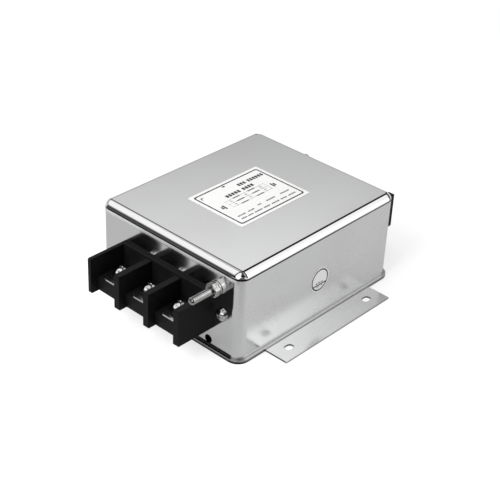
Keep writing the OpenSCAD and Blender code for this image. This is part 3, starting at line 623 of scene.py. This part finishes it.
# %% Foils and ink
def foil(name, colour, rough, metallic=0.0, coat=0.2):
    f = Finish(name, Metallic=metallic, Coat_Weight=coat, Coat_Roughness=0.2)
    skin = f.effect(speckle_tree, Size=3000.0)
    marks = f.effect(handling_tree, Size=28.0, Amount=1.0)
    dull = tuple(c * 0.965 for c in colour[:3]) + (1.0,)
    return f.feed(Base_Color=f.mix(marks["Smudge"], colour, dull),
                  Roughness=steps_up(f, rough, (marks["Smudge"], 0.06)),
                  Normal=f.bump(skin["Height"], 0.05, 0.02 * MM))


def ink(name, tone):
    f = Finish(name, Specular_IOR_Level=0.3)
    thin = f.effect(speckle_tree, Size=1800.0)
    return f.feed(Base_Color=f.mix(thin["Mask"], grey(tone), grey(tone * 2.2)),
                  Roughness=steps_up(f, 0.5, (thin["Mask"], 0.15)))


label_foil = foil("white_label_foil", (0.72, 0.72, 0.715, 1), 0.45)
silver_foil = foil("silver_sticker_foil", (0.95, 0.95, 0.95, 1), 0.5, metallic=1.0, coat=0.0)
black_ink = ink("black_ink", 0.018)
grey_ink = ink("grey_ink", 0.20)
print("foils and inks:", [m.name for m in (label_foil, silver_foil, black_ink, grey_ink)])

# %% [markdown]
# ## The rating label
# Such a label carries a border, two title lines, a small wiring diagram and rows of fine
# print. A shared part must carry no words, so titles and print become plain blocks of about
# the right length and weight; the diagram is lines and little boxes only.

# %% Rating label: the foil
LABEL_FOIL = 0.20 * MM
INK = 0.03 * MM
label_l, label_w = (label_high - label_low)[:2]
label_mid = (label_low + label_high)[:2] / 2
foil_top = ROOF_Z + LABEL_FOIL
edge = rounded_outline(label_l, label_w, 1.0 * MM)
points, faces = solid_plate(edge, ROOF_Z, foil_top)
points[:, :2] += label_mid
place(mesh_from("rating_label_foil", points, faces, label_foil, smooth=False),
      "label_foil", "rating_label")

# %% Rating label: rows of print
def bars_from(table, low, high, shift):
    """Rows of (x, y, length, width) in mm as ink boxes."""
    rows = np.array(table, float) * MM
    return ink_boxes(rows[:, :2] + shift, rows[:, 2:], low, high)


def word_row(x0, x1, y, height, words, gap):
    """Words as bars that fill x0 to x1, a gap apart; words gives their shares of the length."""
    words = np.array(words, float)
    room = (x1 - x0) - gap * (len(words) - 1)
    lengths = words / words.sum() * room
    starts = x0 + np.concatenate([[0], np.cumsum(lengths + gap)[:-1]])
    return np.column_stack([starts + lengths / 2, np.full(len(words), y), lengths,
                            np.full(len(words), height)]).tolist()


def blocks(x0, x1, y, height, words, gap, width, space):
    """Words broken into upright blocks of one width, so that a row has the weight of print."""
    rows = []
    for x, row_y, length, tall in word_row(x0, x1, y, height, words, gap):
        count = max(1, round((length + space) / (width + space)))
        middle = x + (np.arange(count) - (count - 1) / 2) * (width + space)
        rows += np.column_stack([middle, np.full(count, row_y), np.full(count, width),
                                 np.full(count, tall)]).tolist()
    return rows

# %% Rating label: border, print and diagram
BORDER_IN, BORDER_W = 2.8 * MM, 1.3 * MM
open_l, open_w = label_l - 2 * BORDER_IN, label_w - 2 * BORDER_IN
outer = rounded_outline(open_l, open_w, 2.2 * MM)
inner = rounded_outline(open_l - 2 * BORDER_W, open_w - 2 * BORDER_W, 1.8 * MM)
ink_top = foil_top + INK
border = frame_band(outer, inner, foil_top, ink_top)
border[0][:, :2] += label_mid
titles = (blocks(5, 33.5, 17.2, 3.7, [3, 6.5], 2.6, 2.2, 0.8)
          + blocks(-16, 15.5, 10.4, 3.7, [4, 3], 2.2, 2.4, 0.8))
diagram = []
for y in (5.6, 0.6, -4.4):
    diagram += [(0, y, 44, 0.42), (-9, y, 8, 1.5), (8, y, 8, 1.5)]
for x in (-17, -0.5, 16.5):
    diagram += [(x, 0.6, 0.42, 10.4), (x, 3.1, 3.0, 0.7), (x, -1.9, 3.0, 0.7)]
diagram += [(-22, 0.6, 0.42, 10.4), (22, 0.6, 0.42, 10.4)]
marks = [(-27.4, 0.2, 1.6, 6.0), (-29.6, 0.2, 1.6, 3.6), (26.0, -1.0, 1.6, 6.0),
         (28.2, -1.0, 1.6, 3.6), (-31.0, 21.6, 3.2, 0.8), (-32.2, 20.2, 0.8, 3.0),
         (-5.2, 23.4, 3.0, 1.6)]
fine_print = (blocks(-30, -12, -16.4, 1.5, [5, 4], 3.0, 1.0, 0.45)
              + blocks(-6, 30, -14.8, 1.5, [2, 6, 6], 6.0, 1.0, 0.45)
              + blocks(-30, 31, -20.8, 1.6, [3, 3, 5, 4, 5, 4, 5], 2.2, 1.0, 0.45))
points, quads = joined(border, bars_from(titles + marks, foil_top, ink_top, label_mid),
                       bars_from(fine_print, foil_top, ink_top, label_mid))
place(mesh_from("rating_label_print", points, [quads], black_ink, smooth=False), "label_foil")
points, quads = bars_from(diagram, foil_top, foil_top + INK * 0.8, label_mid)
place(mesh_from("rating_label_diagram", points, [quads], grey_ink, smooth=False), "label_foil")

# %% [markdown]
# ## The round sticker
# A silver disc with a thin ring, a straight line across its lower part and a few short bars.
# It is worked out lying flat, about its own centre, and then stood up against the long wall:
# its own Y becomes Z and its own height points out along -Y.

# %% Round sticker
disc_mid = (disc_low + disc_high) / 2
DISC_R = float(disc_high[0] - disc_low[0]) / 2


def circle(radius, steps=72):
    """Points at equal angles round the origin."""
    angle = np.linspace(0, 2 * math.pi, steps, endpoint=False)
    return np.column_stack([radius * np.cos(angle), radius * np.sin(angle)])


def stand_up(points):
    """(x, y, height) on the wall: x runs along +X, y up, and the height out along -Y."""
    x, y, height = points.T
    return np.column_stack([disc_mid[0] + x, -WALL_Y - height, disc_mid[2] + y])


points, faces = solid_plate(circle(DISC_R), 0.0, LABEL_FOIL)
place(mesh_from("round_sticker_foil", stand_up(points), faces, silver_foil, smooth=False),
      "sticker_foil", "round_sticker")
levels = (LABEL_FOIL, LABEL_FOIL + INK)
ring = frame_band(circle(DISC_R - 0.8 * MM), circle(DISC_R - 1.9 * MM), *levels)
chord = [(0, -4.3, 15.0, 1.1), (-3.6, -2.5, 2.2, 0.8), (-0.6, -2.4, 2.6, 0.9),
         (2.6, -2.5, 1.8, 0.8), (-1.8, -5.9, 3.4, 0.5), (2.6, -5.9, 2.6, 0.5)]
points, quads = joined(ring, bars_from(chord, *levels, np.zeros(2)))
place(mesh_from("round_sticker_print", stand_up(points), [quads], black_ink, smooth=False),
      "sticker_foil")

# %% [markdown]
# ## The studio
# A metal part is only as good as what it mirrors. The world is a soft room written as a
# function of direction: a dome that brightens with height, a few soft boxes, and dark cards
# that give rounded edges something to mirror. The camera itself sees plain white, and
# surfaces that scatter light are lit by an even dome.

# %% A world by direction
def toward(azimuth, elevation):
    """Unit vector; azimuth turns from +X to +Y, elevation is above the horizon, in degrees."""
    a, e = math.radians(azimuth), math.radians(elevation)
    return (math.cos(a) * math.cos(e), math.sin(a) * math.cos(e), math.sin(e))


world = bpy.data.worlds.new("soft_room")
bpy.context.scene.world = world
world.use_nodes = True
world.node_tree.nodes.clear()
w = Graph(world.node_tree)
direction = w.vector("NORMALIZE", w.node("ShaderNodeTexCoord").outputs["Generated"])
height = w.node("ShaderNodeSeparateXYZ", {0: direction}).outputs["Z"]


def spot(azimuth, elevation, half, soft):
    """1 inside a round patch of sky and 0 outside, with a soft rim; angles in degrees."""
    near = w.vector("DOT_PRODUCT", direction, toward(azimuth, elevation))
    return w.step(near, math.cos(math.radians(half + soft)), math.cos(math.radians(half - soft)))


def level(elevation):
    """The height of a direction at that elevation, in degrees."""
    return math.sin(math.radians(elevation))


dome = w.step(height, level(24), level(36), 0.45, 1.27, smooth=False)
room = w.math("ADD", dome, w.step(height, level(6), level(22), 0.35, 0.0))
# A soft box: azimuth, elevation, half width and rim in degrees, and the strength.
soft_boxes = [(-54, 4, 27, 6, 0.5), (-50, 33, 11.5, 3, 0.8),
              (-45, 28, 10, 3, 0.6), (-172, 22, 22, 6, 0.75)]
for *patch, strength in soft_boxes:
    room = w.math("ADD", room, w.times(spot(*patch), strength))
print("soft boxes:", len(soft_boxes))

# %% [markdown]
# Dark cards shape the bright strips along the rolled edges. Two low ones stand toward the line
# end, one on each side, a high one hangs over the sticker's side, and a small faint one tones
# the far sky. A seam that widens as it goes runs overhead.

# %% Dark cards
across = Vector(toward(46, 45)).cross(Vector(toward(-108, 60))).normalized()
off_seam = w.math("ABSOLUTE", w.vector("DOT_PRODUCT", direction, tuple(across)))
away = w.math("SUBTRACT", 1.0, w.vector("DOT_PRODUCT", direction, toward(44, 38)))
seam = w.step(w.math("SUBTRACT", off_seam, w.times(away, 0.26)), 0.03, 0.055, 1.0, 0.0)
seam = w.times(seam, w.step(height, level(35.5), level(38)))
cards = [(spot(143, -4, 26, 5), 0.93), (spot(-127, -9, 31, 4), 0.89), (spot(-108, 42, 21, 4), 0.94),
         (spot(30, 34, 4.5, 2.5), 0.35), (seam, 0.95)]
for mask, depth in cards:
    room = w.times(room, w.math("SUBTRACT", 1.0, w.times(mask, depth)))
print("dark cards:", len(cards))

# %% Which ray sees what
path = w.node("ShaderNodeLightPath").outputs
mirrored = w.math("MAXIMUM", path["Is Glossy Ray"], path["Is Transmission Ray"])
strength = w.choose(path["Is Camera Ray"], 1.0, w.choose(mirrored, room, 0.5))
background = w.node("ShaderNodeBackground", {"Color": grey(1.0), "Strength": strength})
w.tree.links.new(background.outputs[0], w.node("ShaderNodeOutputWorld").inputs["Surface"])
print("world graph has", len(w.tree.nodes), "nodes")

# %% [markdown]
# ## Floor and lamp
# The floor is a pale disc. A scattering surface keeps the soft shadow under the part, and a
# glow lifts the rest to white for the camera. Mirrored rays see it greyer, and nearly black
# beyond the line end and the near corner, where a black cloth would lie. Two wide lamps shape
# the black mouldings without showing up in the metal.

# %% Floor
FLOOR_R, FLOOR_STEPS = 0.62, 96
points = at_height(circle(FLOOR_R, FLOOR_STEPS), float(cad_low[2]) - 0.15 * MM)
floor_mat = bpy.data.materials.new("pale_floor")
floor_mat.use_nodes = True
f = Graph(floor_mat.node_tree)
f.tree.nodes.clear()
centred = f.node("ShaderNodeTexCoord").outputs["Object"]
spread = f.node("ShaderNodeSeparateXYZ", {0: centred}).outputs
toward_line = f.times(spread["X"], -1.0)
toward_corner = f.times(f.math("ADD", spread["X"], spread["Y"]), -0.707)
bare = f.times(f.step(toward_line, 0.20, 0.225, 1.0, 0.10),
               f.step(toward_corner, 0.235, 0.26, 1.0, 0.10),
               f.step(spread["X"], -0.12, -0.05, 0.84, 1.0))
rays = f.node("ShaderNodeLightPath").outputs
shine = f.choose(rays["Is Camera Ray"], 0.62, f.times(bare, 0.47))
glow = f.node("ShaderNodeEmission", {"Color": grey(1.0), "Strength": shine})
paint = f.mix(bare, grey(0.02), grey(0.23))
paint = f.mix(rays["Is Glossy Ray"], grey(0.45), paint)
scatter = f.node("ShaderNodeBsdfDiffuse", {"Color": paint})
total = f.node("ShaderNodeAddShader", {0: scatter.outputs[0], 1: glow.outputs[0]})
f.tree.links.new(total.outputs[0], f.node("ShaderNodeOutputMaterial").inputs["Surface"])
floor = mesh_from("floor", points, [np.arange(FLOOR_STEPS)[None]], floor_mat, smooth=False)
print("floor of", FLOOR_R, "m radius, material nodes:", len(f.tree.nodes))

# %% Lamps
def lamp(name, azimuth, elevation, distance, size, watts):
    """A square area lamp in that direction, turned to face the part's middle."""
    data = bpy.data.lights.new(name, "AREA")
    data.size, data.energy = size, watts
    made = bpy.data.objects.new(name, data)
    middle = (cad_low + cad_high) / 2
    made.location = middle + Vector(toward(azimuth, elevation)) * distance
    made.rotation_euler = (middle - made.location).to_track_quat("-Z", "Y").to_euler()
    made.visible_glossy = False
    made.visible_camera = False
    bpy.context.scene.collection.objects.link(made)
    print(name, "of", watts, "W at", [round(v, 2) for v in made.location])


lamp("line_end_lamp", 175, 40, 1.1, 0.7, 12.0)
lamp("top_lamp", 60, 78, 1.1, 0.9, 4.0)

# %% [markdown]
# ## The camera
# A long lens from beyond the near corner, above the part and a little rolled. The view
# direction gives the camera's axes: forward, a level right-hand vector, and the roll turned
# about forward.

# %% Camera
LENS, ROLL = 88.49, 2.918
VIEW_AZIMUTH, VIEW_ELEVATION = -48.453, 32.135
EYE = Vector((-625.1, -556.2, 553.0)) * MM
a, e = math.radians(VIEW_AZIMUTH), math.radians(VIEW_ELEVATION)
forward = Vector((-math.sin(a) * math.cos(e), math.cos(a) * math.cos(e), -math.sin(e)))
level_right = forward.cross(Vector((0, 0, 1))).normalized()
level_up = level_right.cross(forward)
roll = math.radians(ROLL)
right = level_right * math.cos(roll) + level_up * math.sin(roll)
up = level_up * math.cos(roll) - level_right * math.sin(roll)
camera = bpy.data.objects.new("camera", bpy.data.cameras.new("camera"))
camera.data.lens, camera.data.sensor_width = LENS, 36.0
camera.data.clip_start, camera.data.clip_end = 0.05, 20.0
turned = Matrix((right, up, -forward)).transposed().to_4x4()
turned.translation = EYE
camera.matrix_world = turned
bpy.context.scene.collection.objects.link(camera)
bpy.context.scene.camera = camera
bpy.context.scene.view_settings.view_transform = "Standard"
print("camera at", [round(v, 4) for v in EYE])

# %% [markdown]
# ## Last step
# The view layer is brought up to date.

# %% Update the view layer
bpy.context.view_layer.update()
